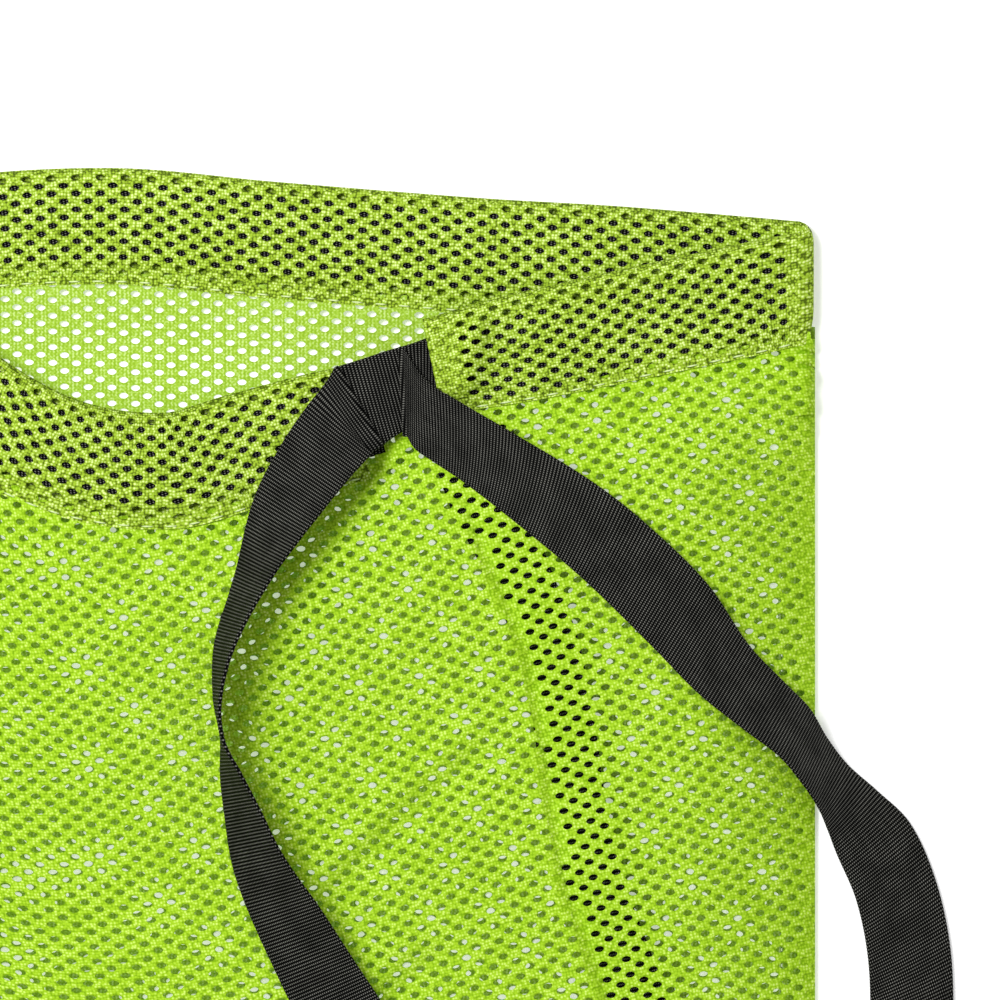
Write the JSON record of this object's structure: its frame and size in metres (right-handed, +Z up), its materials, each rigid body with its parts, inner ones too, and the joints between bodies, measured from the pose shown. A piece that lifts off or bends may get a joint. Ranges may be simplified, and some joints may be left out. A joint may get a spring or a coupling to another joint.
{
  "type": "drawstring rope storage bag",
  "caption": "Flat drawstring bag of open mesh cloth: two panels, hem casings round the mouth, a webbing drawstring with two free ends out of a slit, and an inner strap.",
  "frame": {"origin": "under the middle of the bag, on the surface that its back panel lies on", "axes": "+Y towards the mouth, +Z up out of the front panel, +X to the right seen from above with the mouth away from the viewer"},
  "size_m": [0.3425, 0.5, 0.0467],
  "materials": {
    "mesh_cloth": "lime warp-knit mesh with staggered oval holes, matt with a slight sheen",
    "webbing": "black ribbed polyester webbing, satin",
    "thread": "pale lime polyester sewing thread"
  },
  "bodies": {
    "bag": {"back_panel": "mesh_cloth", "front_panel": "mesh_cloth", "back_casing": "mesh_cloth", "front_casing_left": "mesh_cloth", "front_casing_right": "mesh_cloth", "casing_corner_left": "mesh_cloth", "casing_corner_right": "mesh_cloth", "side_seam_left": "mesh_cloth", "side_seam_right": "mesh_cloth", "bottom_seam": "mesh_cloth", "side_stitching_left": "thread", "side_stitching_right": "thread", "bottom_stitching": "thread", "back_hem_stitching": "thread", "front_hem_stitching_left": "thread", "front_hem_stitching_right": "thread", "slit_stitching_left": "thread", "slit_stitching_right": "thread", "webbing_back_run": "webbing", "webbing_front_run_left": "webbing", "webbing_corner_left": "webbing", "webbing_corner_right": "webbing", "webbing_right_fold": "webbing", "inner_strap": "webbing"},
    "left_strand": {"webbing_front_run_right": "webbing", "webbing_left_tail": "webbing"},
    "right_strand": {"webbing_right_tail": "webbing"}
  },
  "joints": [
    {"name": "left_end_pull", "type": "slide", "parent": "bag", "child": "left_strand", "axis": [-0.9774, -0.2078, 0.0396], "range_m": [0, 0.04]},
    {"name": "right_end_pull", "type": "slide", "parent": "bag", "child": "right_strand", "axis": [0.6993, -0.6993, 0.1483], "range_m": [0, 0.03]}
  ]
}
